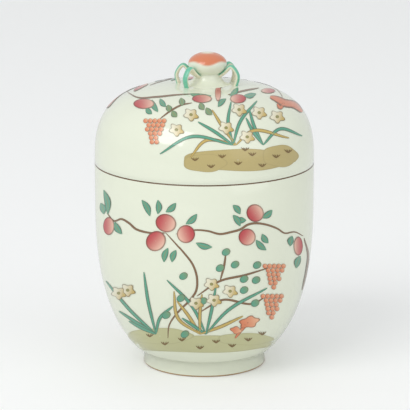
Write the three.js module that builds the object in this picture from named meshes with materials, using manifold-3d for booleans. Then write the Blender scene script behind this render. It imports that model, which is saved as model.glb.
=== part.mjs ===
// Lidded porcelain jar: a U-shaped jar on a foot ring, a domed lid that rests flush on its rim,
// and a fruit finial on a flared stem between four strap loops.
// Millimetres, +Z up, origin at the middle of the foot ring's flat underside.

import * as THREE from 'three';
import { mergeVertices } from 'three/addons/utils/BufferGeometryUtils.js';
import Module from 'manifold-3d';

// Jar
const bodyRadius = 80;
const bodyWall = 5;
const jointHeight = 151;
const drawInHeight = 125; // above this the wall is upright, below it the wall draws in
const bowlDrop = 128.3; // depth at which the drawing-in curve would close on the axis
const bowlExponent = 2.6;
const floorHeight = 15.5; // lowest point of the inside

// Foot ring
const footRadius = 45;
const footNeckRadius = 44;
const footHeight = 11.5;
const footWall = 6;
const footEdge = 1; // bevel at the foot's outer lower edge
const recessHeight = 9;

// Collar inside the jar's mouth, which keeps the lid in place
const collarRise = 6.5;
const collarWall = 3.4;
const collarEdge = 0.8;
const collarDepth = 3; // how far the collar reaches down inside the wall
const collarSlope = 4;

// Lid
const lidWall = 4.5;
const lidRise = 57.5;
const lidExponent = 3;
const seatClearance = 0.6;

// Finial, on an axis of its own beside the lid's axis
const finialOffset = 2.3;
const fruitRadius = 14;
const fruitMiddle = 223;
const fruitUpperRise = 8.5;
const fruitLowerDrop = 9;
const stemFlareRadius = 18;
const stemWaistRadius = 8.8;
const stemWaistHeight = 6; // above the top of the dome
const stemRoot = 4; // depth of the flare below the top of the dome, before it is cut to the dome

// Strap loops
const strapThickness = 3;
const strapWidth = 4.8;
const loopReach = 22.7; // farthest point of a loop's centre line from the finial's axis
const loopPeak = 221.5; // highest point of that line
const loopPeakRadius = 18;
const loopFootRadius = 21;
const loopRootRadius = 7.5; // where a loop springs from the stem
const loopRootHeight = 213.5;
const loopFootDepth = 3; // depth of a loop's foot below the dome, before it is cut to the dome
const loopAzimuths = {
  left_rear: 170,
  left_front: 226,
  right_front: 344,
  right_rear: 30,
};

// Clearance between pieces that are formed to one another
const fitGap = 0.3;

// Facets
const roundSteps = 56;
const bowlSteps = 14;
const domeSteps = 16;
const finialSteps = 36;
const strapSteps = 14;
const strapSides = 10;

const wasm = await Module();
wasm.setup();

// A closed three.js mesh as a solid that can be cut.
function toSolid(geometry) {
  const bare = geometry.clone();
  bare.deleteAttribute('normal');
  bare.deleteAttribute('uv');
  const merged = mergeVertices(bare, 1e-4);
  const corners = merged.index.array;
  const faces = [];
  for (let at = 0; at < corners.length; at += 3) {
    const [a, b, c] = [corners[at], corners[at + 1], corners[at + 2]];
    if (a !== b && b !== c && c !== a) faces.push(a, b, c);
  }
  return new wasm.Manifold(new wasm.Mesh({
    numProp: 3,
    vertProperties: new Float32Array(merged.attributes.position.array),
    triVerts: new Uint32Array(faces),
  }));
}

// A cut solid as a three.js mesh again.
function toGeometry(solid) {
  const mesh = solid.getMesh();
  const geometry = new THREE.BufferGeometry();
  geometry.setAttribute('position', new THREE.BufferAttribute(new Float32Array(mesh.vertProperties), 3));
  geometry.setIndex(new THREE.BufferAttribute(new Uint32Array(mesh.triVerts), 1));
  geometry.computeVertexNormals();
  return geometry;
}

// A profile of [radius, height] points turned about the vertical axis.
function turned(profile, steps = roundSteps) {
  const points = profile.map(([radius, height]) => new THREE.Vector2(radius, height));
  return new THREE.LatheGeometry(points, steps).rotateX(Math.PI / 2);
}

// Points of a superellipse quarter from angle `from` to angle `to`, both in radians:
// radius * cos^(2/n) across and rise * sin^(2/n) up.
function superellipse(radius, rise, exponent, from, to, steps) {
  const points = [];
  for (let step = 0; step <= steps; step += 1) {
    const angle = from + ((to - from) * step) / steps;
    const across = radius * Math.max(Math.cos(angle), 0) ** (2 / exponent);
    const up = rise * Math.max(Math.sin(angle), 0) ** (2 / exponent);
    points.push([across, up]);
  }
  return points;
}

// Jar: foot ring, drawn-in bowl, upright wall, seat for the lid and collar
function jarBody() {
  const footInner = footRadius - footWall;
  const footAngle = Math.asin(((drawInHeight - footHeight - 1) / bowlDrop) ** (bowlExponent / 2));
  const outside = superellipse(bodyRadius, bowlDrop, bowlExponent, footAngle, 0, bowlSteps)
    .map(([radius, drop]) => [radius, drawInHeight - drop]);
  const insideDrop = drawInHeight - floorHeight;
  const inside = superellipse(bodyRadius - bodyWall, insideDrop, bowlExponent, 0, Math.PI / 2, bowlSteps)
    .map(([radius, drop]) => [radius, drawInHeight - drop]);
  inside[bowlSteps][0] = 0;
  const collarOuter = bodyRadius - lidWall - seatClearance;
  const collarInner = collarOuter - collarWall;
  const collarTop = jointHeight + collarRise;
  return turned([
    [0, recessHeight],
    [footInner, recessHeight],
    [footInner, 0],
    [footRadius - footEdge, 0],
    [footRadius, footEdge],
    [footNeckRadius, footHeight],
    ...outside,
    [bodyRadius, jointHeight],
    [collarOuter, jointHeight],
    [collarOuter, collarTop - collarEdge],
    [collarOuter - collarEdge, collarTop],
    [collarInner, collarTop],
    [collarInner, jointHeight - collarDepth],
    [bodyRadius - bodyWall, jointHeight - collarDepth - collarSlope],
    ...inside,
  ]);
}

// Lid: a superelliptic dome of even wall, open below
function lidShell() {
  const quarter = Math.PI / 2;
  const inner = superellipse(bodyRadius - lidWall, lidRise - lidWall, lidExponent, quarter, 0, domeSteps)
    .map(([radius, rise]) => [radius, jointHeight + rise]);
  const outer = superellipse(bodyRadius, lidRise, lidExponent, 0, quarter, domeSteps)
    .map(([radius, rise]) => [radius, jointHeight + rise]);
  inner[0][0] = 0;
  outer[domeSteps][0] = 0;
  return turned([...inner, ...outer]);
}

// The space of the dome with the fit gap round it, seen from the finial's axis
function domeSpace() {
  const outer = superellipse(bodyRadius + fitGap, lidRise + fitGap, lidExponent, 0, Math.PI / 2, domeSteps)
    .map(([radius, rise]) => [radius, jointHeight + rise]);
  outer[domeSteps][0] = 0;
  return toSolid(turned([[0, jointHeight], ...outer]).translate(-finialOffset, 0, 0));
}

// Fruit, grown by a gap where it is used as a cutter
function fruitForm(gap = 0) {
  const profile = [];
  const half = finialSteps / 2;
  for (let step = 0; step <= half; step += 1) {
    const angle = -Math.PI / 2 + (Math.PI * step) / half;
    const rise = angle < 0 ? fruitLowerDrop : fruitUpperRise;
    const radius = step === 0 || step === half ? 0 : (fruitRadius + gap) * Math.cos(angle);
    profile.push([radius, fruitMiddle + (rise + gap) * Math.sin(angle)]);
  }
  return turned(profile, finialSteps);
}

// Flared stem between the dome and the fruit
function stemForm(gap = 0) {
  const domeTop = jointHeight + lidRise;
  const root = domeTop - stemRoot;
  const flare = new THREE.SplineCurve([
    new THREE.Vector2(stemFlareRadius + gap, root),
    new THREE.Vector2(stemFlareRadius + gap, domeTop - 0.4),
    new THREE.Vector2((stemFlareRadius + stemWaistRadius) / 2 + gap, domeTop + stemWaistHeight * 0.38),
    new THREE.Vector2(stemWaistRadius + gap, domeTop + stemWaistHeight),
    new THREE.Vector2(stemWaistRadius + gap, fruitMiddle - fruitLowerDrop * 0.5),
  ]);
  const side = flare.getPoints(12).map((point) => [point.x, point.y]);
  return turned([[0, root], ...side, [0, fruitMiddle - fruitLowerDrop * 0.5]], finialSteps);
}

// Strap along a route of [radius, height] points in the plane of one azimuth: an oval section,
// its thickness across the route in that plane and its width square to the plane.
function strapForm(azimuth) {
  const domeTop = jointHeight + lidRise;
  const route = new THREE.SplineCurve([
    new THREE.Vector2(loopRootRadius, loopRootHeight),
    new THREE.Vector2((loopRootRadius + loopPeakRadius) / 2, loopRootHeight + (loopPeak - loopRootHeight) * 0.45),
    new THREE.Vector2(loopPeakRadius, loopPeak),
    new THREE.Vector2(loopReach, (loopPeak + domeTop) / 2),
    new THREE.Vector2(loopFootRadius, domeTop - loopFootDepth),
  ]);
  const positions = [];
  const faces = [];
  for (let step = 0; step <= strapSteps; step += 1) {
    const centre = route.getPoint(step / strapSteps);
    const along = route.getTangent(step / strapSteps);
    for (let side = 0; side < strapSides; side += 1) {
      const angle = (2 * Math.PI * side) / strapSides;
      const across = (Math.cos(angle) * strapThickness) / 2;
      const sideways = (Math.sin(angle) * strapWidth) / 2;
      positions.push(centre.x - along.y * across, sideways, centre.y + along.x * across);
      const next = (side + 1) % strapSides;
      if (step < strapSteps) {
        const near = step * strapSides;
        const far = near + strapSides;
        faces.push(near + side, far + next, near + next, near + side, far + side, far + next);
      }
    }
  }
  const last = strapSteps * strapSides;
  for (let side = 1; side < strapSides - 1; side += 1) {
    faces.push(0, side, side + 1);
    faces.push(last, last + side + 1, last + side);
  }
  const geometry = new THREE.BufferGeometry();
  geometry.setAttribute('position', new THREE.Float32BufferAttribute(positions, 3));
  geometry.setIndex(faces);
  return toSolid(geometry.rotateZ(THREE.MathUtils.degToRad(azimuth)));
}

// Glazes and enamels
const glaze = new THREE.MeshStandardMaterial({ color: '#e8eadb', roughness: 0.12, metalness: 0 });
const turquoise = new THREE.MeshStandardMaterial({ color: '#5fa58a', roughness: 0.3, metalness: 0 });
const ironRed = new THREE.MeshStandardMaterial({ color: '#c86f4a', roughness: 0.3, metalness: 0 });

// A named piece
function piece(name, geometry, material) {
  const mesh = new THREE.Mesh(geometry, material.clone());
  mesh.name = name;
  return mesh;
}

const lidCutter = domeSpace();
const stemCutter = toSolid(stemForm(fitGap));
const fruitCutter = toSolid(fruitForm(fitGap));

const finial = new THREE.Group();
finial.position.x = finialOffset;
const stem = toSolid(stemForm()).subtract(lidCutter).subtract(fruitCutter);
finial.add(piece('finial_stem', toGeometry(stem), glaze));
finial.add(piece('finial_fruit', fruitForm(), ironRed));
for (const [place, azimuth] of Object.entries(loopAzimuths)) {
  const loop = strapForm(azimuth).subtract(lidCutter).subtract(stemCutter).subtract(fruitCutter);
  finial.add(piece(`finial_loop_${place}`, toGeometry(loop), turquoise));
}

const lid = new THREE.Group();
lid.add(piece('lid_shell', lidShell(), glaze));
lid.add(finial);

const jar = new THREE.Group();
jar.add(piece('jar_body', jarBody(), glaze));
jar.add(lid);

export default jar;
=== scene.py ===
"""Lidded porcelain jar with overglaze enamels: glazed surfaces, finial, painted sprays and a pale studio.

Metres, +Z up, the painted front towards -Y. Paint places are pixels of the photograph's frame, which the
viewpoint's sight lines carry onto the turned surfaces.
"""

import logging
import math
from dataclasses import dataclass, field
from enum import Enum

import bpy
import numpy as np
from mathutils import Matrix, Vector

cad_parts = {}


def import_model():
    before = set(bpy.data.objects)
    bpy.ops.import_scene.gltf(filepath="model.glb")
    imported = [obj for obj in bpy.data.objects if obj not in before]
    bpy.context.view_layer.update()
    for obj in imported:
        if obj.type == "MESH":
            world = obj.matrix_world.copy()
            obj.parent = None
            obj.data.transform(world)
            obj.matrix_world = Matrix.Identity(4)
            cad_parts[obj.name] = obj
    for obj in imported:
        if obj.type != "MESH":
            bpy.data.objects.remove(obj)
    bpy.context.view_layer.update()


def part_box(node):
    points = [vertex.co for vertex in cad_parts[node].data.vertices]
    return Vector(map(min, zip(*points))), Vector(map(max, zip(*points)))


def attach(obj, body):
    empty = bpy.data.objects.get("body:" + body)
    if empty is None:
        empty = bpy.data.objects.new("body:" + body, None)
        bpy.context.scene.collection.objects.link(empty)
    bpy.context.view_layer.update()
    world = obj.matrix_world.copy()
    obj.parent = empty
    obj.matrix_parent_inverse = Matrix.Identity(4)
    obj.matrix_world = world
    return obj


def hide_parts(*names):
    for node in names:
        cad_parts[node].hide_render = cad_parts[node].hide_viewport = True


LOG = logging.getLogger("lidded_jar")
MM = 0.001
PAINT_LAYER = "enamel"

Pixel = tuple[float, float]
Colour = tuple[float, float, float]


class Body(Enum):
    """The two loose pieces of the object."""

    JAR = "jar"
    LID = "lid"


class Slot(Enum):
    """Names of the material slots."""

    GLAZE = "porcelain_glaze"
    FRUIT = "fruit_enamel"
    LOOP = "loop_enamel"


class Enamel(Enum):
    """The painter's palette, in linear red, green and blue."""

    OUTLINE = (0.10, 0.055, 0.025)
    BRANCH = (0.24, 0.13, 0.06)
    TURQUOISE = (0.10, 0.36, 0.24)
    LEAF_GREEN = (0.20, 0.34, 0.18)
    OLIVE = (0.30, 0.28, 0.09)
    OCHRE = (0.58, 0.42, 0.12)
    GROUND = (0.52, 0.42, 0.17)
    GROUND_GREEN = (0.56, 0.55, 0.30)
    PEACH_PALE = (0.82, 0.50, 0.38)
    PEACH_RED = (0.52, 0.05, 0.06)
    CORAL = (0.72, 0.22, 0.10)
    BERRY_LIGHT = (0.86, 0.45, 0.26)
    CREAM = (0.84, 0.80, 0.62)
    GLAZE = (0.80, 0.83, 0.68)
    TUFT = (0.20, 0.12, 0.03)
    EDGE_BROWN = (0.16, 0.09, 0.045)
    BARE_CLAY = (0.42, 0.27, 0.13)

    @property
    def tint(self) -> np.ndarray:
        """The colour as an array."""
        return np.array(self.value)


def blend(first: np.ndarray, second: np.ndarray, share: np.ndarray | float) -> np.ndarray:
    """Colours between first and second: first * (1 - share) + second * share."""
    return first * (1 - share) + second * share


@dataclass(frozen=True)
class Shot:
    """The photograph's viewpoint: distance and height in metres, pitch in degrees, focal length in pixels."""

    distance: float = 1.8
    height: float = 0.55
    across: float = 0.0005
    pitch: float = 13.5
    focal: float = 2527.0
    frame: float = 410.0
    sensor: float = 36.0
    far_clip: float = 50.0

    @property
    def eye(self) -> tuple[float, float, float]:
        """The camera's place."""
        return (self.across, -self.distance, self.height)

    def rays(self, pixels: np.ndarray) -> np.ndarray:
        """Unit directions of the sight lines: forward + right * px / focal - up * py / focal.

        Args:
            pixels: array of shape (n, 2) in the photograph's frame.

        Returns:
            Array of shape (n, 3), one unit direction for each pixel.
        """
        tilt = math.radians(self.pitch)
        right = (pixels[:, 0] - self.frame / 2) / self.focal
        down = (pixels[:, 1] - self.frame / 2) / self.focal
        forward = np.array([0.0, math.cos(tilt), -math.sin(tilt)])
        up = np.array([0.0, math.sin(tilt), math.cos(tilt)])
        rays = forward + np.outer(right, [1.0, 0.0, 0.0]) - np.outer(down, up)
        return rays / np.linalg.norm(rays, axis=1)[:, None]

    def camera(self) -> None:
        """Makes the camera and gives it to the scene."""
        data = bpy.data.cameras.new("camera")
        data.lens = self.focal * self.sensor / self.frame
        data.sensor_width = self.sensor
        data.clip_end = self.far_clip
        item = bpy.data.objects.new("camera", data)
        item.location = self.eye
        item.rotation_euler = (math.radians(90 - self.pitch), 0, 0)
        bpy.context.scene.collection.objects.link(item)
        bpy.context.scene.camera = item


@dataclass(frozen=True)
class Turned:
    """A turned outer surface: radius at each height, from a superellipse.

    r(z) = radius * (1 - (drop / depth)^exponent)^(1 / exponent), where drop is the distance past start,
    downwards for a sense of -1 and upwards for +1. Paint may lie between low and high.
    """

    radius: float
    start: float
    depth: float
    exponent: float
    sense: float
    low: float
    high: float
    margin: float = 0.3 * MM
    slope_step: float = 0.01 * MM
    search_near: float = 0.13
    search_far: float = 0.16
    search_steps: int = 500
    halvings: int = 14

    def at(self, z: np.ndarray) -> np.ndarray:
        """Radius at heights z, in metres."""
        drop = np.clip((z - self.start) * self.sense / self.depth, 0.0, 1.0)
        return self.radius * (1.0 - drop**self.exponent) ** (1.0 / self.exponent)

    def outside_by(self, places: np.ndarray) -> np.ndarray:
        """How far places lie outside the surface, measured level: sqrt(x^2 + y^2) - r(z)."""
        return np.hypot(places[..., 0], places[..., 1]) - self.at(places[..., 2])

    def hit(self, shot: Shot, pixels: np.ndarray, lift: float) -> np.ndarray:
        """Points where sight lines through pixels first meet the surface, pushed out by lift.

        The line is sampled near the jar, and the first step that ends inside the surface is halved again
        and again. A line that misses takes the sample closest to the surface.

        Args:
            shot: the viewpoint.
            pixels: array of shape (n, 2).
            lift: how far the points stand off the surface.

        Returns:
            Array of shape (n, 3), in metres.
        """
        eye, rays = np.array(shot.eye), shot.rays(pixels)
        near, far = shot.distance - self.search_near, shot.distance + self.search_far
        steps = np.linspace(near, far, self.search_steps)
        places = eye + rays[:, None, :] * steps[None, :, None]
        gap = self.outside_by(places)
        inside = (gap < 0) & (places[..., 2] > self.low) & (places[..., 2] < self.high)
        first = np.where(inside.any(1), inside.argmax(1), gap.argmin(1))
        high = steps[first]
        low = steps[np.maximum(first - 1, 0)]
        for _ in range(self.halvings):
            middle = (low + high) / 2
            within = self.outside_by(eye + rays * middle[:, None]) < 0
            high = np.where(within, middle, high)
            low = np.where(within, low, middle)
        return self.raise_off(eye + rays * high[:, None], lift)

    def raise_off(self, spots: np.ndarray, lift: float) -> np.ndarray:
        """Moves points level onto the surface and then out along its normal, (1, -r'(z)) scaled to one.

        Args:
            spots: array of shape (n, 3).
            lift: distance along the normal.

        Returns:
            Array of shape (n, 3).
        """
        z = np.clip(spots[:, 2], self.low + self.margin, self.high - self.margin)
        turn = np.arctan2(spots[:, 1], spots[:, 0])
        slope = (self.at(z + self.slope_step) - self.at(z - self.slope_step)) / (2 * self.slope_step)
        scale = 1.0 / np.sqrt(1.0 + slope**2)
        radius = self.at(z) + lift * scale
        return np.stack([radius * np.cos(turn), radius * np.sin(turn), z - lift * slope * scale], 1)


def add_mesh(
    name: str,
    points: np.ndarray,
    faces: np.ndarray,
    colours: np.ndarray | None = None,
) -> bpy.types.Object:
    """Puts points, four-cornered faces and point colours into a new smooth mesh object.

    Args:
        name: the piece's name.
        points: array of shape (..., 3).
        faces: array of shape (m, 4).
        colours: optional array of shape (..., 3), linear, one for each point.

    Returns:
        The new object, linked to the scene.
    """
    mesh = bpy.data.meshes.new(name)
    mesh.from_pydata(points.reshape(-1, 3).tolist(), [], faces.tolist())
    if colours is not None:
        flat = colours.reshape(-1, 3)
        layer = mesh.color_attributes.new(PAINT_LAYER, "FLOAT_COLOR", "POINT")
        rgba = np.concatenate([flat, np.ones((len(flat), 1))], 1)
        layer.data.foreach_set("color", rgba.astype(np.float32).ravel())
    mesh.validate()
    mesh.polygons.foreach_set("use_smooth", np.ones(len(mesh.polygons), bool))
    item = bpy.data.objects.new(name, mesh)
    bpy.context.scene.collection.objects.link(item)
    return item


def grid_faces(rows: int, columns: int, closed: bool = False) -> np.ndarray:
    """Faces of a grid of points, each from a point, its neighbour and the two above them.

    Args:
        rows: number of rows of points.
        columns: number of points in a row.
        closed: joins the last column to the first.

    Returns:
        Array of shape (m, 4).
    """
    count = columns if closed else columns - 1
    row, column = np.meshgrid(np.arange(rows - 1), np.arange(count), indexing="ij")
    following = (column + 1) % columns
    corners = [
        row * columns + column,
        row * columns + following,
        (row + 1) * columns + following,
        (row + 1) * columns + column,
    ]
    return np.stack([corner.ravel() for corner in corners], 1)


def outward_faces(points: np.ndarray, faces: np.ndarray, upward: float = 0.02) -> np.ndarray:
    """Turns round each face whose normal, the cross product of its diagonals, points to the jar's axis.

    A turned face keeps its first corner, so that a bent one is still split along the same diagonal.

    Args:
        points: array of shape (n, 3).
        faces: array of shape (m, 4).
        upward: upward share of the outward direction, for faces near the lid's top.

    Returns:
        Array of shape (m, 4).
    """
    corners = points[faces]
    normals = np.cross(corners[:, 2] - corners[:, 0], corners[:, 3] - corners[:, 1])
    outward = corners.mean(1) * [1, 1, 0] + [0, 0, upward]
    wrong = np.einsum("ij,ij->i", normals, outward) < 0
    return np.where(wrong[:, None], faces[:, [0, 3, 2, 1]], faces)


def turn_profile(profile: np.ndarray, segments: int) -> np.ndarray:
    """Turns a profile of radius and height about the vertical axis: x = r cos t, y = r sin t, z = h.

    Args:
        profile: array of shape (n, 2).
        segments: points in a turn.

    Returns:
        Array of shape (n, segments, 3).
    """
    turn = np.linspace(0, 2 * math.pi, segments, endpoint=False)
    radius, height = profile[:, 0], profile[:, 1]
    across = np.outer(radius, np.cos(turn))
    along = np.outer(radius, np.sin(turn))
    return np.stack([across, along, np.outer(height, np.ones(segments))], -1)


def revolve(name: str, profile: np.ndarray, segments: int = 192) -> bpy.types.Object:
    """Makes a turned piece from a profile that starts and ends on the axis, its poles welded.

    Args:
        name: the piece's name.
        profile: array of shape (n, 2), radius and height.
        segments: points in a turn.

    Returns:
        The new object.
    """
    item = add_mesh(name, turn_profile(profile, segments), grid_faces(len(profile), segments, closed=True))
    weld = item.modifiers.new("poles", "WELD")
    weld.merge_threshold = 0.001 * MM
    return item


def quarter(radius: float, depth: float, exponent: float, start: float, end: float, steps: int) -> np.ndarray:
    """Superellipse points: radius * cos^(2/n) across and depth * sin^(2/n) along.

    Args:
        radius: half width.
        depth: half height.
        exponent: n, 2 for an ellipse and more for a squarer shoulder.
        start: first angle, in radians.
        end: last angle, in radians.
        steps: number of points.

    Returns:
        Array of shape (steps, 2).
    """
    angle = np.linspace(start, end, steps)
    across = radius * np.clip(np.cos(angle), 0, 1) ** (2 / exponent)
    along = depth * np.clip(np.sin(angle), 0, 1) ** (2 / exponent)
    return np.stack([across, along], 1)


def smooth(where: np.ndarray, span: np.ndarray, values: np.ndarray) -> np.ndarray:
    """Cubic through values at span, with slopes from neighbouring differences (Catmull-Rom).

    Args:
        where: places to read the curve at.
        span: rising places of the knots.
        values: the knots' values.

    Returns:
        The curve's values.
    """
    if len(span) > 2:
        slope = np.gradient(values, span)
    else:
        slope = np.full(len(span), (values[-1] - values[0]) / span[-1])
    index = np.clip(np.searchsorted(span, where, side="right") - 1, 0, len(span) - 2)
    step = span[index + 1] - span[index]
    t = (where - span[index]) / step
    start = (1 + 2 * t) * (1 - t) ** 2 * values[index] + t * (1 - t) ** 2 * step * slope[index]
    return start + t**2 * (3 - 2 * t) * values[index + 1] - t**2 * (1 - t) * step * slope[index + 1]


def smooth_line(knots: np.ndarray, span: np.ndarray, steps: int) -> tuple[np.ndarray, np.ndarray]:
    """A smooth line through flat knots, and its unit direction at each of its points.

    Args:
        knots: array of shape (n, 2).
        span: rising places of the knots along the line.
        steps: number of points.

    Returns:
        Two arrays of shape (steps, 2).
    """
    where = np.linspace(0, span[-1], steps)
    line = np.stack([smooth(where, span, knots[:, axis]) for axis in (0, 1)], 1)
    along = np.gradient(line, axis=0)
    return line, along / (np.linalg.norm(along, axis=1)[:, None] + 1e-9)


@dataclass(frozen=True)
class Effects:
    """The two effects that every glaze and enamel shares, as shader node groups."""

    drift: bpy.types.NodeTree
    ripple: bpy.types.NodeTree

    @classmethod
    def build(cls, drift_scale: float = 18.0, ripple_scale: float = 260.0) -> "Effects":
        """Builds both groups.

        Args:
            drift_scale: scale of the slow drift in the glaze's depth of colour.
            ripple_scale: scale of the fine ripple of the fired surface.

        Returns:
            The groups.
        """
        return cls(cls.drift_group(drift_scale), cls.ripple_group(ripple_scale))

    @staticmethod
    def noise_group(name: str, scale: float) -> tuple[bpy.types.NodeTree, bpy.types.Node, bpy.types.Node]:
        """A new group with a noise that reads its Vector input.

        Args:
            name: the group's name.
            scale: the noise's scale.

        Returns:
            The group, its input node and its noise node.
        """
        group = bpy.data.node_groups.new(name, "ShaderNodeTree")
        group.interface.new_socket("Vector", in_out="INPUT", socket_type="NodeSocketVector")
        source = group.nodes.new("NodeGroupInput")
        noise = group.nodes.new("ShaderNodeTexNoise")
        noise.inputs["Scale"].default_value = scale
        group.links.new(source.outputs["Vector"], noise.inputs["Vector"])
        return group, source, noise

    @classmethod
    def drift_group(cls, scale: float) -> bpy.types.NodeTree:
        """Shade from Darkest to one, by a slow noise.

        Args:
            scale: the noise's scale.

        Returns:
            The group.
        """
        group, source, noise = cls.noise_group("glaze_drift", scale)
        group.interface.new_socket("Darkest", in_out="INPUT", socket_type="NodeSocketFloat")
        group.interface.new_socket("Shade", in_out="OUTPUT", socket_type="NodeSocketFloat")
        shade = group.nodes.new("ShaderNodeMapRange")
        shade.inputs["From Min"].default_value = 0.3
        shade.inputs["From Max"].default_value = 0.7
        group.links.new(noise.outputs["Fac"], shade.inputs["Value"])
        group.links.new(source.outputs["Darkest"], shade.inputs["To Min"])
        result = group.nodes.new("NodeGroupOutput")
        group.links.new(shade.outputs["Result"], result.inputs["Shade"])
        return group

    @classmethod
    def ripple_group(cls, scale: float) -> bpy.types.NodeTree:
        """Height of a fine ripple, by a close noise.

        Args:
            scale: the noise's scale.

        Returns:
            The group.
        """
        group, _, noise = cls.noise_group("fired_ripple", scale)
        group.interface.new_socket("Height", in_out="OUTPUT", socket_type="NodeSocketFloat")
        result = group.nodes.new("NodeGroupOutput")
        group.links.new(noise.outputs["Fac"], result.inputs["Height"])
        return group


@dataclass(frozen=True)
class Band:
    """A level band of another colour, between two heights."""

    low: float
    high: float
    colour: Enamel


@dataclass(frozen=True)
class Glaze:
    """A glossy finish: its colour, gloss, drift and bands. A painted one takes its colour from the paint."""

    name: str
    colour: Enamel = Enamel.GLAZE
    roughness: float = 0.12
    painted: bool = False
    drift: float = 0.12
    darkest: float = 0.9
    bands: tuple[Band, ...] = ()
    coat: float = 0.5
    coat_roughness: float = 0.06
    ripple_strength: float = 0.03
    ripple_depth: float = 0.4 * MM

    def make(self, effects: Effects) -> bpy.types.Material:
        """Builds the material.

        Args:
            effects: the shared groups.

        Returns:
            The material.
        """
        material = bpy.data.materials.new(self.name)
        material.use_nodes = True
        tree = material.node_tree
        shader = tree.nodes["Principled BSDF"]
        shader.inputs["Roughness"].default_value = self.roughness
        shader.inputs["Coat Weight"].default_value = self.coat
        shader.inputs["Coat Roughness"].default_value = self.coat_roughness
        place = tree.nodes.new("ShaderNodeTexCoord").outputs["Object"]
        colour = self.band_colour(tree, place, self.drifting_colour(tree, place, effects))
        tree.links.new(colour, shader.inputs["Base Color"])
        ripple = tree.nodes.new("ShaderNodeGroup")
        ripple.node_tree = effects.ripple
        tree.links.new(place, ripple.inputs["Vector"])
        bump = tree.nodes.new("ShaderNodeBump")
        bump.inputs["Strength"].default_value = self.ripple_strength
        bump.inputs["Distance"].default_value = self.ripple_depth
        tree.links.new(ripple.outputs["Height"], bump.inputs["Height"])
        tree.links.new(bump.outputs["Normal"], shader.inputs["Normal"])
        return material

    def drifting_colour(
        self, tree: bpy.types.NodeTree, place: bpy.types.NodeSocket, effects: Effects
    ) -> bpy.types.NodeSocket:
        """The glaze's colour or the painted colour, multiplied by the drift.

        Args:
            tree: the material's nodes.
            place: the object coordinates.
            effects: the shared groups.

        Returns:
            The colour's socket.
        """
        drift = tree.nodes.new("ShaderNodeGroup")
        drift.node_tree = effects.drift
        drift.inputs["Darkest"].default_value = self.darkest
        tree.links.new(place, drift.inputs["Vector"])
        mix = tree.nodes.new("ShaderNodeMix")
        mix.data_type = "RGBA"
        mix.blend_type = "MULTIPLY"
        mix.inputs["Factor"].default_value = self.drift
        base, shade = [socket for socket in mix.inputs if socket.type == "RGBA"]
        base.default_value = (*self.colour.value, 1)
        if self.painted:
            paint = tree.nodes.new("ShaderNodeVertexColor")
            paint.layer_name = PAINT_LAYER
            tree.links.new(paint.outputs["Color"], base)
        tree.links.new(drift.outputs["Shade"], shade)
        return next(socket for socket in mix.outputs if socket.type == "RGBA")

    def band_colour(
        self, tree: bpy.types.NodeTree, place: bpy.types.NodeSocket, colour: bpy.types.NodeSocket
    ) -> bpy.types.NodeSocket:
        """Lays each band over the colour where the height lies inside it.

        Args:
            tree: the material's nodes.
            place: the object coordinates.
            colour: the colour below the bands.

        Returns:
            The colour's socket.
        """
        height = tree.nodes.new("ShaderNodeSeparateXYZ")
        tree.links.new(place, height.inputs["Vector"])
        for band in self.bands:
            within = tree.nodes.new("ShaderNodeMath")
            within.operation = "COMPARE"
            within.inputs[1].default_value = (band.low + band.high) / 2
            within.inputs[2].default_value = (band.high - band.low) / 2
            tree.links.new(height.outputs["Z"], within.inputs[0])
            mix = tree.nodes.new("ShaderNodeMix")
            mix.data_type = "RGBA"
            below, above = [socket for socket in mix.inputs if socket.type == "RGBA"]
            above.default_value = (*band.colour.value, 1)
            tree.links.new(within.outputs["Value"], mix.inputs["Factor"])
            tree.links.new(colour, below)
            colour = next(socket for socket in mix.outputs if socket.type == "RGBA")
        return colour


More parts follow.
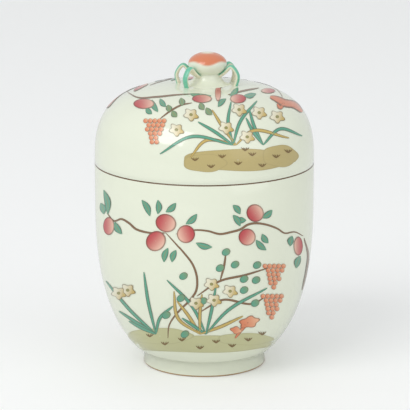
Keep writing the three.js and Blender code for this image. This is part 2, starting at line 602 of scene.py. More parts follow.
@dataclass
class JarVessel:
    """The jar: foot ring, bowl, upright wall, lid seat and inner collar, in metres."""

    surface: Turned
    joint: float
    floor: float = 15.5 * MM
    wall: float = 5.0 * MM
    foot: float = 45.0 * MM
    neck: float = 44.0 * MM
    foot_height: float = 11.5 * MM
    foot_wall: float = 6.0 * MM
    foot_step: float = 1.0 * MM
    recess: float = 9.0 * MM
    collar: float = 74.9 * MM
    collar_wall: float = 3.4 * MM
    collar_rise: float = 6.5 * MM
    collar_depth: float = 3.0 * MM
    collar_slope: float = 4.0 * MM
    edge: float = 0.8 * MM
    bowl_steps: int = 60

    def foot_profile(self) -> list[list[float]]:
        """The base from the axis outwards: recess, inner side, standing edge and outer side.

        Returns:
            Pairs of radius and height.
        """
        inner, edge, outer = self.foot - self.foot_wall, self.edge, self.foot
        return [
            [0, self.recess],
            [inner - edge, self.recess],
            [inner, self.recess - edge],
            [inner, edge],
            [inner + edge, 0],
            [outer - edge, 0],
            [outer - edge * 0.3, edge * 0.3],
            [outer, edge],
            [self.neck, self.foot_height],
        ]

    def rim_profile(self) -> list[list[float]]:
        """The rim from the outer wall inwards: rounded edge, seat for the lid, collar and its slope.

        Returns:
            Pairs of radius and height.
        """
        radius, joint, edge, collar = self.surface.radius, self.joint, self.edge, self.collar
        lip = joint + self.collar_rise
        hole = collar - self.collar_wall
        return [
            [radius, joint - edge * 0.4],
            [radius - edge * 0.12, joint - edge * 0.12],
            [radius - edge * 0.4, joint],
            [collar + edge * 0.5, joint],
            [collar, joint + edge * 0.5],
            [collar, lip - edge],
            [collar - edge * 0.3, lip - edge * 0.3],
            [collar - edge, lip],
            [hole + edge, lip],
            [hole + edge * 0.3, lip - edge * 0.3],
            [hole, lip - edge],
            [hole, joint - self.collar_depth],
            [radius - self.wall, joint - self.collar_depth - self.collar_slope],
        ]

    def bowl(self, radius: float, depth: float, start: float, end: float) -> np.ndarray:
        """One skin of the bowl: a superellipse quarter hung below the height where the wall draws in.

        Args:
            radius: the skin's radius at that height.
            depth: how far below that height the skin would close on the axis.
            start: first angle, in radians.
            end: last angle, in radians.

        Returns:
            Array of shape (n, 2), radius and height.
        """
        skin = quarter(radius, depth, self.surface.exponent, start, end, self.bowl_steps)
        skin[:, 1] = self.surface.start - skin[:, 1]
        return skin

    def build(self, glaze: bpy.types.Material) -> None:
        """Turns the whole vessel as one closed skin that stands for the plain solid.

        Args:
            glaze: the jar's finish.
        """
        body = self.surface
        foot_drop = body.start - self.foot_height - self.foot_step
        foot_angle = math.asin((foot_drop / body.depth) ** (body.exponent / 2))
        outer = self.bowl(body.radius, body.depth, foot_angle, 0)
        inner = self.bowl(body.radius - self.wall, body.start - self.floor, 0, math.pi / 2)
        inner[-1, 0] = 0
        profile = np.concatenate([self.foot_profile(), outer, self.rim_profile(), inner])
        declare(revolve("jar_glaze", profile), Body.JAR, glaze, "jar_body")


@dataclass
class LidDome:
    """The lid: a superelliptic dome of even wall, in metres."""

    surface: Turned
    wall: float = 4.5 * MM
    edge: float = 0.35 * MM
    inner_steps: int = 60
    outer_steps: int = 90

    def build(self, glaze: bpy.types.Material) -> None:
        """Turns the lid as one closed skin with a softened rim, which stands for the plain solid.

        Args:
            glaze: the lid's finish.
        """
        dome = self.surface
        inner_radius, inner_rise = dome.radius - self.wall, dome.depth - self.wall
        inner = quarter(inner_radius, inner_rise, dome.exponent, math.pi / 2, 0, self.inner_steps)
        outer = quarter(dome.radius, dome.depth, dome.exponent, 0, math.pi / 2, self.outer_steps)
        inner[:, 1] += dome.start
        outer[:, 1] += dome.start
        inner[0, 0] = outer[-1, 0] = 0
        inner[-1, 1] += self.edge
        outer[0, 1] += self.edge
        rim = [[inner_radius + self.edge, dome.start], [dome.radius - self.edge, dome.start]]
        profile = np.concatenate([inner, rim, outer])
        declare(revolve("lid_glaze", profile), Body.LID, glaze, "lid_shell")


def declare(
    item: bpy.types.Object,
    body: Body,
    material: bpy.types.Material,
    node: str | None = None,
) -> None:
    """Gives a finished piece its finish, sets it on its body and hides the solid that it stands for.

    Args:
        item: the piece.
        body: what it moves with.
        material: its finish.
        node: the solid that it replaces, if any.
    """
    item.data.materials.append(material)
    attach(item, body.value)
    if node:
        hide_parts(node)
    LOG.info("%s: %d points", item.name, len(item.data.vertices))


@dataclass
class Finial:
    """Fruit on a flared stem between four strap loops, in metres, on an axis beside the lid's."""

    axis: float
    dome_top: float
    fruit_radius: float
    fruit_middle: float = 223.0 * MM
    fruit_drop: float = 9.0 * MM
    fruit_rise: float = 8.5 * MM
    red_from: float = 8.0
    red_fade: float = 10.0
    red_wave: float = 7.0
    red_waves: int = 4
    spot_from: float = 66.0
    spot_fade: float = 14.0
    waist: float = 8.8 * MM
    flare: float = 8.8 * MM
    flare_fall: float = 2.3 * MM
    flare_foot: float = 0.2 * MM
    stem_root: float = 2.2 * MM
    stem_height: float = 10.5 * MM
    strap_thickness: float = 3.0 * MM
    strap_width: float = 4.8 * MM
    strap_brightness: float = 1.5
    strap_edge: float = 2.2
    route: tuple[tuple[float, float], ...] = (
        (7.5, 213.5),
        (12.75, 217.1),
        (18.0, 221.5),
        (22.7, 215.0),
        (21.0, 207.0),
    )
    azimuths: tuple[tuple[str, float], ...] = (
        ("left_rear", 170),
        ("left_front", 226),
        ("right_front", 344),
        ("right_rear", 30),
    )

    def build(self, painted: bpy.types.Material, glaze: bpy.types.Material) -> None:
        """Builds stem, fruit and loops.

        Args:
            painted: the enamelled finish.
            glaze: the stem's finish.
        """
        self.stem(glaze)
        self.fruit(painted)
        for name, azimuth in self.azimuths:
            self.loop(name, math.radians(azimuth), painted)

    def shift(self, item: bpy.types.Object) -> bpy.types.Object:
        """Moves a piece's mesh from the lid's axis to the finial's.

        Args:
            item: the piece.

        Returns:
            The same piece.
        """
        places = np.zeros(len(item.data.vertices) * 3)
        item.data.vertices.foreach_get("co", places)
        places = places.reshape(-1, 3) + [self.axis, 0, 0]
        item.data.vertices.foreach_set("co", places.ravel())
        return item

    def stem(self, glaze: bpy.types.Material, steps: int = 30, segments: int = 96) -> None:
        """The stem's side: waist + flare * exp(-(h + foot) / fall) at height h above the dome's top.

        Args:
            glaze: its finish.
            steps: points up the side.
            segments: points in a turn.
        """
        height = np.linspace(-self.stem_root, self.stem_height, steps)
        radius = self.waist + self.flare * np.exp(-np.clip(height + self.flare_foot, 0, 1) / self.flare_fall)
        side = np.stack([radius, self.dome_top + height], 1)
        profile = np.concatenate([[[0, side[0, 1]]], side, [[0, side[-1, 1]]]])
        item = self.shift(revolve("stem_glaze", profile, segments))
        declare(item, Body.LID, glaze, "finial_stem")

    def fruit(self, painted: bpy.types.Material, rows: int = 40, columns: int = 96) -> None:
        """A flattened ball, white below and red above a wavy line, with a round cream spot on top.

        Latitude a gives radius * cos a and a height of rise * sin a, with another rise below the middle.

        Args:
            painted: its finish.
            rows: points from pole to pole.
            columns: points in a turn.
        """
        angle = np.linspace(-math.pi / 2, math.pi / 2, rows)
        turn = np.linspace(0, 2 * math.pi, columns, endpoint=False)
        rise = np.where(angle < 0, self.fruit_drop, self.fruit_rise)
        radius = self.fruit_radius * np.cos(angle)
        radius[[0, -1]] = 0
        profile = np.stack([radius, self.fruit_middle + rise * np.sin(angle)], 1)
        latitude = np.degrees(angle)[:, None]
        wavy = latitude + self.red_wave * np.cos(self.red_waves * turn)
        red = np.clip((wavy - self.red_from) / self.red_fade, 0, 1)[..., None]
        spot = np.clip((latitude - self.spot_from) / self.spot_fade, 0, 1)[..., None]
        tint = blend(blend(Enamel.GLAZE.tint, Enamel.CORAL.tint, red), Enamel.CREAM.tint, spot)
        faces = grid_faces(rows, columns, closed=True)
        item = self.shift(add_mesh("fruit_enamelled", turn_profile(profile, columns), faces, tint))
        declare(item, Body.LID, painted, "finial_fruit")

    def loop(
        self, name: str, azimuth: float, painted: bpy.types.Material, rows: int = 40, columns: int = 20
    ) -> None:
        """An oval section carried along the route in one upright plane; turquoise outside, cream elsewhere.

        The section's thickness lies across the route in the plane, and its width square to the plane.

        Args:
            name: which loop.
            azimuth: the plane's turn from +X, in radians.
            painted: the enamelled finish.
            rows: points along the route.
            columns: points round the section.
        """
        knots = np.array(self.route) * MM
        line, along = smooth_line(knots, np.arange(float(len(knots))), rows)
        angle = np.linspace(0, 2 * math.pi, columns, endpoint=False)
        across = np.cos(angle) * self.strap_thickness / 2
        side = np.sin(angle) * self.strap_width / 2
        radius = line[:, :1] - along[:, 1:] * across
        z = line[:, 1:] + along[:, :1] * across
        x = radius * math.cos(azimuth) - side * math.sin(azimuth)
        y = radius * math.sin(azimuth) + side * math.cos(azimuth)
        outside = np.clip(np.cos(angle) * self.strap_edge, 0, 1)[None, :, None] * np.ones((rows, 1, 1))
        tint = blend(Enamel.CREAM.tint, Enamel.TURQUOISE.tint * self.strap_brightness, outside)
        faces = grid_faces(rows, columns, closed=True)[:, ::-1]
        item = self.shift(add_mesh(f"loop_{name}_enamelled", np.stack([x, y, z], -1), faces, tint))
        declare(item, Body.LID, painted, f"finial_loop_{name}")


@dataclass(frozen=True)
class Fineness:
    """How finely a rounded form is cut: its rings, as shares of its reach, and its spokes."""

    rings: tuple[float, ...]
    spokes: int


SMALL_FORM = Fineness((0.02, 0.35, 0.62, 0.82), 28)
BROAD_FORM = Fineness(tuple(np.linspace(0.02, 0.92, 16)), 96)
OUTLINE_RINGS = (0.94, 1.0)


@dataclass
class Patches:
    """Collects painted patches of one motif and makes them into one piece."""

    surface: Turned
    shot: Shot
    lift: float
    points: list[np.ndarray] = field(default_factory=list)
    faces: list[np.ndarray] = field(default_factory=list)
    colours: list[np.ndarray] = field(default_factory=list)
    count: int = 0
    overlap_step: float = 0.004 * MM
    overlap_steps: int = 20
    stroke_row: float = 1.5
    stroke_least_rows: int = 5
    stroke_columns: int = 5
    stroke_end: float = 0.25
    stroke_swell: float = 0.6
    stroke_rim: float = 0.7
    broad_from: float = 30.0
    blush_middle: float = 0.5
    blush_slope: float = 0.65
    blush_power: float = 1.5
    leaf_rows: int = 9
    leaf_columns: int = 7
    leaf_bend: float = 0.08
    leaf_tip: float = 0.02
    leaf_swell: float = 0.8
    vein_blade: float = 0.5
    vein_ochre: float = 0.3

    def add(self, pixels: np.ndarray, colours: np.ndarray, closed: bool) -> None:
        """Lays a grid of pixel places on the surface as one patch, a hair above the patch before it.

        Args:
            pixels: array of shape (rows, columns, 2).
            colours: array of shape (rows, columns, 3).
            closed: joins the last column to the first.
        """
        rows, columns = pixels.shape[:2]
        over = self.overlap_step * min(len(self.points), self.overlap_steps)
        self.points.append(self.surface.hit(self.shot, pixels.reshape(-1, 2), self.lift + over))
        self.faces.append(grid_faces(rows, columns, closed) + self.count)
        self.colours.append(colours.reshape(-1, 3))
        self.count += rows * columns

    def stroke(self, route: list[Pixel], width: float, colour: Enamel, edge: Enamel | None = None) -> None:
        """A brush stroke: a ribbon along a smooth route, half width w / 2 * (1/4 + 3/4 sin(pi u)^0.6).

        Args:
            route: places that the stroke passes through, in pixels.
            width: full width in pixels.
            colour: colour of its middle.
            edge: colour of its sides, the same as the middle if not given.
        """
        knots = np.array(route, float)
        span = np.concatenate([[0], np.cumsum(np.hypot(*np.diff(knots, axis=0).T))])
        rows = max(int(span[-1] / self.stroke_row), self.stroke_least_rows)
        line, along = smooth_line(knots, span, rows)
        across = np.stack([-along[:, 1], along[:, 0]], 1)
        swell = np.sin(math.pi * np.linspace(0, 1, rows)) ** self.stroke_swell
        half = width / 2 * (self.stroke_end + (1 - self.stroke_end) * swell)
        sides = np.linspace(-1, 1, self.stroke_columns)
        pixels = line[:, None, :] + across[:, None, :] * (half[:, None] * sides[None, :])[..., None]
        rim = (np.abs(sides) > self.stroke_rim).astype(float)[:, None]
        tint = blend(colour.tint, (edge or colour).tint, rim)
        self.add(pixels, np.tile(tint, (rows, 1, 1)), closed=False)

    def blob(
        self,
        at: Pixel,
        size: Pixel,
        inner: Enamel,
        outer: Enamel,
        turn: float = 0.0,
        petals: int = 0,
        depth: float = 0.0,
        edge: float = 0.65,
    ) -> None:
        """A rounded form on a polar grid, with a dark outline and a blush from one side to the other.

        Its outline is an ellipse times 1 + depth * cos(petals * angle), and the blush runs along the
        ellipse's width. A broad form has a finer grid, so that it follows the surface.

        Args:
            at: centre in pixels.
            size: full width and height in pixels.
            inner: colour on the far side of the blush.
            outer: colour on the near side.
            turn: turn of the ellipse in degrees.
            petals: number of petals round the edge.
            depth: depth of the notches between petals.
            edge: strength of the dark outline.
        """
        cut = BROAD_FORM if max(size) > self.broad_from else SMALL_FORM
        ring = np.array([*cut.rings, *OUTLINE_RINGS])[:, None]
        angle = np.linspace(0, 2 * math.pi, cut.spokes, endpoint=False)
        reach = 1 + depth * np.cos(petals * angle)
        x = ring * reach * np.cos(angle) * size[0] / 2
        y = ring * reach * np.sin(angle) * size[1] / 2
        bend = math.radians(turn)
        across = at[0] + x * math.cos(bend) - y * math.sin(bend)
        down = at[1] + x * math.sin(bend) + y * math.cos(bend)
        side = self.blush_middle + self.blush_slope * x / (size[0] / 2)
        blush = np.clip(side, 0, 1)[..., None] ** self.blush_power
        tint = blend(outer.tint, inner.tint, blush)
        tint[-2:] = blend(tint[-2:], Enamel.OUTLINE.tint, edge)
        self.add(np.stack([across, down], -1), tint, closed=True)

    def leaf(self, base: Pixel, tip: Pixel, width: float, colour: Enamel) -> None:
        """A pointed, slightly bent leaf with a dark edge and a paler vein, half width w / 2 * sin(pi u)^0.8.

        Args:
            base: where it springs, in pixels.
            tip: where it ends, in pixels.
            width: full width in pixels.
            colour: colour of its blade.
        """
        root, end = np.array(base, float), np.array(tip, float)
        length = np.linalg.norm(end - root)
        along = (end - root) / (length + 1e-9)
        across = np.array([-along[1], along[0]])
        share = np.linspace(0, 1, self.leaf_rows)
        line = root + (end - root) * share[:, None]
        line = line + across * (self.leaf_bend * length * np.sin(math.pi * share))[:, None]
        inside = np.clip(share, self.leaf_tip, 1 - self.leaf_tip)
        half = width / 2 * np.sin(math.pi * inside) ** self.leaf_swell
        sides = np.linspace(-1, 1, self.leaf_columns)
        pixels = line[:, None, :] + across * (half[:, None] * sides)[..., None]
        tint = np.tile(colour.tint, (self.leaf_columns, 1))
        tint[[0, -1]] = Enamel.OUTLINE.tint
        tint[self.leaf_columns // 2] = colour.tint * self.vein_blade + Enamel.OCHRE.tint * self.vein_ochre
        self.add(pixels, np.tile(tint, (self.leaf_rows, 1, 1)), closed=False)

    def finish(self, name: str, body: Body, material: bpy.types.Material) -> None:
        """Makes the front patches and their copy on the back into one piece.

        Args:
            name: the piece's name.
            body: what it moves with.
            material: the enamelled finish.
        """
        front = np.concatenate(self.points)
        points = np.concatenate([front, front * [-1.0, -1.0, 1.0]])
        faces = np.concatenate(self.faces)
        faces = np.concatenate([faces, faces + len(front)])
        colours = np.concatenate(self.colours * 2)
        declare(add_mesh(name, points, outward_faces(points, faces), colours), body, material)


@dataclass(frozen=True)
class Clump:
    """Long leaves from one base, each through a middle place to its tip."""

    name: str
    base: Pixel
    tips: tuple[tuple[Pixel, Pixel], ...]
    colour: Enamel = Enamel.TURQUOISE


@dataclass(frozen=True)
class Foliage:
    """Pointed leaves, each from its base to its tip."""

    name: str
    width: float
    pairs: tuple[tuple[Pixel, Pixel], ...]
    colour: Enamel = Enamel.TURQUOISE


@dataclass(frozen=True)
class Form:
    """A rounded form: centre, size and turn in degrees."""

    at: Pixel
    size: Pixel
    turn: float = 0.0


@dataclass(frozen=True)
class Cluster:
    """A hanging cluster of berries: the middle of its top row, its width and its height."""

    top: Pixel
    wide: float
    tall: float


@dataclass
class Spray:
    """One painted spray on one surface."""

    surface: Turned
    shot: Shot
    body: Body
    prefix: str
    material: bpy.types.Material
    first_lift: float = 0.1 * MM
    layer: float = 0.04 * MM
    wash_petals: int = 5
    wash_notch: float = 0.04
    wash_edge: float = 0.12
    tuft_reaches: tuple[float, ...] = (-4, -1.5, 1.5, 4)
    tuft_knee: Pixel = (0.6, 2)
    tuft_height: float = 3.5
    tuft_width: float = 1.1
    blade_width: float = 3.4
    flower_size: float = 14.0
    flower_flatness: float = 0.8
    flower_turn: float = 20.0
    flower_petals: int = 5
    flower_notch: float = 0.2
    eye_share: Pixel = (0.25, 0.22)
    berry_pitch: Pixel = (4.6, 4.2)
    berry_size: Pixel = (4.8, 4.6)
    berry_turn: float = -40.0
    berry_narrowing: float = 0.75
    berry_stagger: float = 1.2
    berry_lean: float = 2.0

    def patches(self, level: int) -> Patches:
        """An empty set of patches on the given layer of paint."""
        return Patches(self.surface, self.shot, self.layer * level + self.first_lift)

    def close(self, patches: Patches, name: str) -> None:
        """Makes a set of patches into a piece named after the spray."""
        patches.finish(f"{self.prefix}_{name}", self.body, self.material)

    def ground(self, washes: tuple[Form, ...], tufts: tuple[Pixel, ...], colour: Enamel) -> None:
        """The washed ground and its dark grass tufts of four short strokes.

        Args:
            washes: the rounded forms of the wash.
            tufts: the tufts' roots.
            colour: the wash's colour.
        """
        wash = self.patches(1)
        for form in washes:
            wash.blob(
                form.at,
                form.size,
                colour,
                colour,
                petals=self.wash_petals,
                depth=self.wash_notch,
                edge=self.wash_edge,
            )
        self.close(wash, "ground")
        marks = self.patches(4)
        knee_share, knee_height = self.tuft_knee
        for x, y in tufts:
            for reach in self.tuft_reaches:
                knee = (x + reach * knee_share, y - knee_height)
                marks.stroke([(x, y), knee, (x + reach, y - self.tuft_height)], self.tuft_width, Enamel.TUFT)
        self.close(marks, "tufts")

    def branches(self, routes: tuple[list[Pixel], ...], width: float) -> None:
        """Woody branches of one width.

        Args:
            routes: the places that each branch passes through.
            width: full width in pixels.
        """
        wood = self.patches(2)
        for route in routes:
            wood.stroke(route, width, Enamel.BRANCH, Enamel.OUTLINE)
        self.close(wood, "branches")

    def blades(self, clump: Clump) -> None:
        """The long leaves of one clump.

        Args:
            clump: its base, tips and colour.
        """
        grass = self.patches(3)
        for middle, tip in clump.tips:
            grass.stroke([clump.base, middle, tip], self.blade_width, clump.colour, Enamel.OUTLINE)
        self.close(grass, clump.name)

    def peaches(self, fruits: tuple[Form, ...]) -> None:
        """Peaches that blush from pale to deep rose.

        Args:
            fruits: their places, sizes and turns.
        """
        ripe = self.patches(5)
        for fruit in fruits:
            ripe.blob(fruit.at, fruit.size, Enamel.PEACH_PALE, Enamel.PEACH_RED, fruit.turn)
        self.close(ripe, "peaches")

    def leaves(self, foliage: Foliage) -> None:
        """Pointed leaves of one width and colour.

        Args:
            foliage: their bases, tips, width and colour.
        """
        green = self.patches(4)
        for base, tip in foliage.pairs:
            green.leaf(base, tip, foliage.width, foliage.colour)
        self.close(green, foliage.name)

    def flowers(self, places: tuple[Pixel, ...]) -> None:
        """Five-petalled yellow flowers with a dark eye.

        Args:
            places: their centres.
        """
        bloom = self.patches(6)
        size = self.flower_size
        eye = (size * self.eye_share[0], size * self.eye_share[1])
        for at in places:
            bloom.blob(
                at,
                (size, size * self.flower_flatness),
                Enamel.OCHRE,
                Enamel.CREAM,
                self.flower_turn,
                self.flower_petals,
                self.flower_notch,
            )
            bloom.blob(at, eye, Enamel.OLIVE, Enamel.OLIVE)
        self.close(bloom, "flowers")

    def berries(self, clusters: tuple[Cluster, ...]) -> None:
        """Clusters of berries in rows that narrow downwards, every second one moved sideways.

        Args:
            clusters: their places and sizes.
        """
        fruit = self.patches(6)
        column_pitch, row_pitch = self.berry_pitch
        for cluster in clusters:
            rows = int(cluster.tall / row_pitch)
            for row in range(rows):
                share = row / rows
                width = cluster.wide * (1 - share * self.berry_narrowing)
                count = max(int(width / column_pitch), 1)
                for column in range(count):
                    offset = (column - (count - 1) / 2) * column_pitch + (row % 2) * self.berry_stagger
                    x = cluster.top[0] + offset - share * self.berry_lean
                    y = cluster.top[1] + row * row_pitch
                    fruit.blob((x, y), self.berry_size, Enamel.BERRY_LIGHT, Enamel.CORAL, self.berry_turn)
        self.close(fruit, "berries")


@dataclass
class LidPainting(Spray):
    """The spray on the lid."""

    branch_width: float = 1.8
    washes: tuple[Form, ...] = (
        Form((238, 160), (112, 22)),
        Form((280, 156), (36, 22)),
        Form((205, 163), (44, 18)),
    )
    tufts: tuple[Pixel, ...] = (
        (195, 161), (211, 168), (222, 158), (238, 165), (252, 156),
        (262, 167), (276, 158), (288, 153), (245, 151),
    )
    routes: tuple[list[Pixel], ...] = (
        [(126, 91), (136, 97), (156, 97), (176, 95), (192, 94)],
        [(228, 95), (243, 91), (259, 88)],
        [(160, 119), (169, 112), (182, 105), (192, 103)],
    )
    clumps: tuple[Clump, ...] = (
        Clump(
            "blades_left",
            (233, 145),
            (
                ((228, 122), (231, 102)),
                ((240, 122), (257, 101)),
                ((215, 132), (198, 122)),
                ((190, 137), (160, 154)),
            ),
        ),
        Clump(
            "blades_right",
            (263, 145),
            (((254, 126), (249, 109)), ((252, 130), (246, 118)), ((280, 129), (302, 136))),
        ),
        Clump(
            "blades_ochre",
            (236, 145),
            (((222, 126), (212, 110)), ((205, 141), (190, 158)), ((250, 132), (289, 138))),
            Enamel.OCHRE,
        ),
    )
    fruits: tuple[Form, ...] = (
        Form((144, 104), (21, 10)),
        Form((202, 99), (20, 8)),
        Form((218, 93), (17, 6), 90),
        Form((238, 99), (16, 9), 180),
        Form((268, 91), (14, 5), 180),
    )
    pointed: Foliage = Foliage(
        "leaves",
        5.5,
        (
            ((152, 100), (158, 112)),
            ((146, 108), (152, 114)),
            ((160, 99), (166, 107)),
            ((190, 94), (211, 96)),
            ((230, 96), (238, 88)),
            ((244, 96), (256, 94)),
            ((226, 99), (218, 107)),
        ),
    )
    rounded: Foliage = Foliage(
        "round_leaves",
        6.5,
        (
            ((182, 106), (181, 98)),
            ((172, 111), (177, 117)),
            ((169, 112), (168, 105)),
            ((200, 103), (204, 110)),
            ((206, 108), (212, 115)),
        ),
        Enamel.LEAF_GREEN,
    )
    blooms: tuple[Pixel, ...] = (
        (191, 115), (176.5, 130), (239, 110), (259, 113), (277, 117), (247, 137), (226, 128),
    )
    clusters: tuple[Cluster, ...] = (Cluster((155, 121), 25, 29),)

    def paint(self) -> None:
        """Lays every motif of the lid, from the ground up."""
        self.ground(self.washes, self.tufts, Enamel.GROUND)
        self.branches(self.routes, self.branch_width)
        for clump in self.clumps:
            self.blades(clump)
        self.peaches(self.fruits)
        self.leaves(self.pointed)
        self.leaves(self.rounded)
        self.flowers(self.blooms)
        self.berries(self.clusters)
        self.bat()

    def bat(self) -> None:
        """A coral bat with one long wing and one short one."""
        coral = self.patches(5)
        long_wing = [(270, 97), (276, 99), (284, 103), (294, 105), (302, 112)]
        short_wing = [(284, 103), (280, 108), (277, 104)]
        coral.stroke(long_wing, 8, Enamel.CORAL, Enamel.OUTLINE)
        coral.stroke(short_wing, 4, Enamel.CORAL, Enamel.OUTLINE)
        self.close(coral, "bat")


@dataclass
class JarPainting(Spray):
    """The spray on the jar."""

    branch_width: float = 2.2
    round_leaf_size: Pixel = (9, 7)
    round_leaf_turn: float = -30.0
    stalk: tuple[Pixel, ...] = ((235, 338), (241, 330), (249, 322))
    stalk_width: float = 3.5
    large_cap: Form = Form((249, 322), (20, 11), -15)
    small_cap: Form = Form((236, 330), (11, 7), 10)
    cap_notch: float = 0.15
    washes: tuple[Form, ...] = (
        Form((200, 344), (146, 17)),
        Form((160, 336), (66, 16)),
        Form((245, 339), (56, 12)),
    )
    tufts: tuple[Pixel, ...] = (
        (150, 337), (165, 345), (182, 341), (200, 349), (216, 343), (232, 347), (248, 341), (262, 335),
    )
    routes: tuple[list[Pixel], ...] = (
        [(107, 213), (115, 221), (121, 219), (129, 223), (136, 229), (145, 232), (166, 233)],
        [
            (166, 233), (176, 244), (185, 254), (193, 265), (197, 278),
            (196, 291), (190, 300), (179, 311), (169, 326), (168, 338),
        ],
        [
            (176, 234), (196, 230), (208, 231), (220, 234), (231, 232), (241, 229),
            (247, 225), (271, 226), (278, 229), (284, 233), (295, 232), (303, 236),
        ],
        [(197, 296), (220, 281), (245, 275), (268, 268)],
        [(220, 281), (224, 266), (226, 252)],
        [(200, 312), (222, 300), (255, 303), (266, 296)],
        [(304, 238), (308, 255), (306, 272), (302, 290)],
    )
    clumps: tuple[Clump, ...] = (
        Clump(
            "blades_left",
            (156, 334),
            (
                ((132, 312), (106, 281)),
                ((148, 300), (144, 272)),
                ((136, 322), (119, 311)),
                ((142, 328), (129, 321)),
                ((160, 318), (173, 306)),
            ),
        ),
        Clump(
            "blades_middle",
            (206, 334),
            (
                ((192, 306), (167, 280)),
                ((194, 326), (182, 318)),
                ((226, 312), (267, 288)),
                ((212, 308), (216, 286)),
            ),
        ),
        Clump(
            "blades_ochre",
            (200, 334),
            (
                ((188, 315), (177, 301)),
                ((200, 312), (202, 294)),
                ((222, 326), (243, 316)),
                ((178, 318), (174, 291)),
            ),
            Enamel.OCHRE,
        ),
    )
    fruits: tuple[Form, ...] = (
        Form((166, 223), (21, 18), 20),
        Form((156, 241), (19, 21), 40),
        Form((186, 234), (18, 18), 160),
        Form((255, 213), (17, 18), -30),
        Form((247, 237), (17, 17), 30),
        Form((298, 246), (9, 19), 180),
        Form((109, 226), (11, 18), 0),
    )
    pointed: Foliage = Foliage(
        "leaves",
        6.5,
        (
            ((150, 216), (142, 200)),
            ((158, 214), (158, 200)),
            ((166, 212), (176, 203)),
            ((186, 224), (197, 214)),
            ((168, 248), (164, 262)),
            ((176, 250), (172, 262)),
            ((240, 214), (233, 205)),
            ((246, 220), (236, 222)),
            ((262, 218), (272, 210)),
            ((256, 240), (266, 250)),
            ((262, 234), (268, 243)),
            ((292, 236), (290, 246)),
            ((104, 214), (101, 203)),
            ((108, 214), (104, 190)),
            ((115, 222), (122, 234)),
            ((196, 243), (212, 247)),
            ((240, 226), (233, 215)),
            ((300, 256), (296, 268)),
        ),
    )
    round_leaves: tuple[Pixel, ...] = (
        (183.5, 276), (220, 268), (235, 264.5), (257, 265), (244, 279), (244, 290), (256, 280),
        (255, 303), (181, 298), (203, 301), (166.5, 315), (185, 334), (226, 252),
    )
    blooms: tuple[Pixel, ...] = (
        (211.5, 284), (230, 291), (128, 290), (119, 293), (214, 300), (196, 303),
    )
    clusters: tuple[Cluster, ...] = (Cluster((274, 266), 23, 26), Cluster((272, 296), 24, 28))

    def paint(self) -> None:
        """Lays every motif of the jar, from the ground up."""
        self.ground(self.washes, self.tufts, Enamel.GROUND_GREEN)
        self.branches(self.routes, self.branch_width)
        for clump in self.clumps:
            self.blades(clump)
        self.peaches(self.fruits)
        self.leaves(self.pointed)
        self.nandina()
        self.flowers(self.blooms)
        self.berries(self.clusters)
        self.lingzhi()

    def nandina(self) -> None:
        """The small round leaves along the stems."""
        green = self.patches(4)
        size, turn = self.round_leaf_size, self.round_leaf_turn
        for at in self.round_leaves:
            green.blob(at, size, Enamel.LEAF_GREEN, Enamel.TURQUOISE, turn)
        self.close(green, "round_leaves")

    def lingzhi(self) -> None:
        """A coral fungus: a bent stalk with one large cap and one small."""
        coral = self.patches(5)
        coral.stroke(list(self.stalk), self.stalk_width, Enamel.CORAL, Enamel.OUTLINE)
        for cap, lobes in ((self.large_cap, 5), (self.small_cap, 4)):
            coral.blob(cap.at, cap.size, Enamel.BERRY_LIGHT, Enamel.CORAL, cap.turn, lobes, self.cap_notch)
        self.close(coral, "lingzhi")


@dataclass(frozen=True)
class Lamp:
    """A square soft lamp: its place and width in metres and its power in watts."""

    name: str
    place: tuple[float, float, float]
    power: float
    width: float
    aim: tuple[float, float, float] = (0, 0, 0.12)

    def build(self) -> None:
        """Makes the lamp, turned to the jar's middle."""
        light = bpy.data.lights.new(self.name, "AREA")
        light.energy = self.power
        light.size = self.width
        item = bpy.data.objects.new(self.name, light)
        item.location = self.place
        sight = Vector(self.aim) - Vector(self.place)
        item.rotation_euler = sight.to_track_quat("-Z", "Y").to_euler()
        bpy.context.scene.collection.objects.link(item)


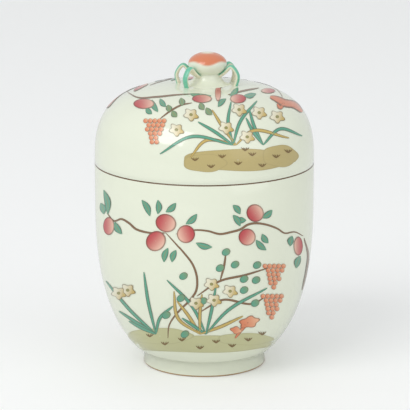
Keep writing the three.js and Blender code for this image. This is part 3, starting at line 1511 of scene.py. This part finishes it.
@dataclass
class Studio:
    """Pale paper that is floor in front and curves up behind, an even sky and two soft lamps."""

    half_width: float = 5.0
    front: float = -3.0
    bend: float = 2.0
    bend_depth: float = 1.5
    bend_height: float = 4.0
    floor_share: float = 0.6
    rows: int = 60
    paper_colour: Colour = (0.86, 0.865, 0.86)
    paper_roughness: float = 0.9
    paper_glow: Colour = (0.125, 0.122, 0.122)
    sky_colour: Colour = (0.97, 0.99, 1.0)
    sky_strength: float = 0.72
    lamps: tuple[Lamp, ...] = (
        Lamp("key", (-1.6, -1.8, 2.2), 34, 1.8),
        Lamp("fill", (1.8, -1.6, 1.2), 8, 2.0),
    )

    def build(self) -> None:
        """Makes the paper, the sky and the lamps."""
        sweep = self.sweep()
        sweep.data.materials.append(self.paper())
        world = bpy.data.worlds.new("studio_light")
        world.use_nodes = True
        sky = world.node_tree.nodes["Background"]
        sky.inputs["Color"].default_value = (*self.sky_colour, 1)
        sky.inputs["Strength"].default_value = self.sky_strength
        bpy.context.scene.world = world
        for lamp in self.lamps:
            lamp.build()
        LOG.info("studio built")

    def sweep(self) -> bpy.types.Object:
        """The paper: level from front to bend, then a quarter of an ellipse up.

        Returns:
            The stage object.
        """
        run = np.linspace(0, 1, self.rows)
        level = run < self.floor_share
        rise = np.clip((run - self.floor_share) / (1 - self.floor_share), 0, 1) * math.pi / 2
        y_level = self.front + run / self.floor_share * (self.bend - self.front)
        y = np.where(level, y_level, self.bend + np.sin(rise) * self.bend_depth)
        z = np.where(level, 0.0, (1 - np.cos(rise)) * self.bend_height)
        x = np.array([-self.half_width, self.half_width])
        points = np.stack([np.tile(x, (self.rows, 1)), np.tile(y[:, None], 2), np.tile(z[:, None], 2)], -1)
        return add_mesh("studio_sweep", points, grid_faces(self.rows, 2))

    def paper(self) -> bpy.types.Material:
        """Matt paper that the camera alone sees a little brighter.

        Returns:
            The material.
        """
        paper = bpy.data.materials.new("studio_paper")
        paper.use_nodes = True
        tree = paper.node_tree
        shader = tree.nodes["Principled BSDF"]
        shader.inputs["Base Color"].default_value = (*self.paper_colour, 1)
        shader.inputs["Roughness"].default_value = self.paper_roughness
        shader.inputs["Emission Strength"].default_value = 1.0
        seen = tree.nodes.new("ShaderNodeLightPath").outputs["Is Camera Ray"]
        glow = tree.nodes.new("ShaderNodeMix")
        glow.data_type = "RGBA"
        dark, bright = [socket for socket in glow.inputs if socket.type == "RGBA"]
        dark.default_value = (0, 0, 0, 1)
        bright.default_value = (*self.paper_glow, 1)
        tree.links.new(seen, glow.inputs["Factor"])
        result = next(socket for socket in glow.outputs if socket.type == "RGBA")
        tree.links.new(result, shader.inputs["Emission Color"])
        return paper


@dataclass
class LiddedJar:
    """The whole object: its surfaces from the frame, its finishes and its painting."""

    draw_in: float = 125.0 * MM
    bowl_depth: float = 128.3 * MM
    bowl_exponent: float = 2.6
    dome_exponent: float = 3.0
    paint_floor: float = 13.0 * MM
    foot_edge: float = 1.1 * MM

    def build(self, shot: Shot) -> None:
        """Builds jar, lid, finial and painting, in that order.

        Args:
            shot: the viewpoint that the painting is carried through.
        """
        low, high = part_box("lid_shell")
        radius, joint, top = high.x, low.z, high.z
        wall = Turned(
            radius, self.draw_in, self.bowl_depth, self.bowl_exponent, -1.0, self.paint_floor, joint
        )
        dome = Turned(radius, joint, top - joint, self.dome_exponent, 1.0, joint, top)
        effects = Effects.build()
        enamel = Glaze("enamel", roughness=0.28, painted=True, drift=0.35, darkest=0.75).make(effects)
        JarVessel(wall, joint).build(self.jar_glaze(joint).make(effects))
        LidDome(dome).build(self.lid_glaze(joint).make(effects))
        self.finial(top).build(enamel, Glaze("stem_glaze").make(effects))
        LidPainting(dome, shot, Body.LID, "lid", enamel).paint()
        JarPainting(wall, shot, Body.JAR, "jar", enamel).paint()

    def jar_glaze(self, joint: float) -> Glaze:
        """The jar's glaze, brown at the rim and bare at the standing edge."""
        rim = Band(joint - 0.7 * MM, joint + 0.2 * MM, Enamel.EDGE_BROWN)
        foot = Band(-1.0 * MM, self.foot_edge, Enamel.BARE_CLAY)
        return Glaze("jar_glaze", bands=(rim, foot))

    def lid_glaze(self, joint: float) -> Glaze:
        """The lid's glaze, brown at the rim."""
        return Glaze("lid_glaze", bands=(Band(joint - 1.0 * MM, joint + 0.25 * MM, Enamel.EDGE_BROWN),))

    def finial(self, dome_top: float) -> Finial:
        """The finial, its axis and its fruit's radius from the frame."""
        low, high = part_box("finial_fruit")
        return Finial((low.x + high.x) / 2, dome_top, (high.x - low.x) / 2)


def main() -> None:
    """Builds the object, the studio and the camera."""
    logging.basicConfig(level=logging.INFO)
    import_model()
    shot = Shot()
    LiddedJar().build(shot)
    Studio().build()
    shot.camera()
    bpy.context.scene.view_settings.view_transform = "Standard"


if __name__ == "__main__":
    main()
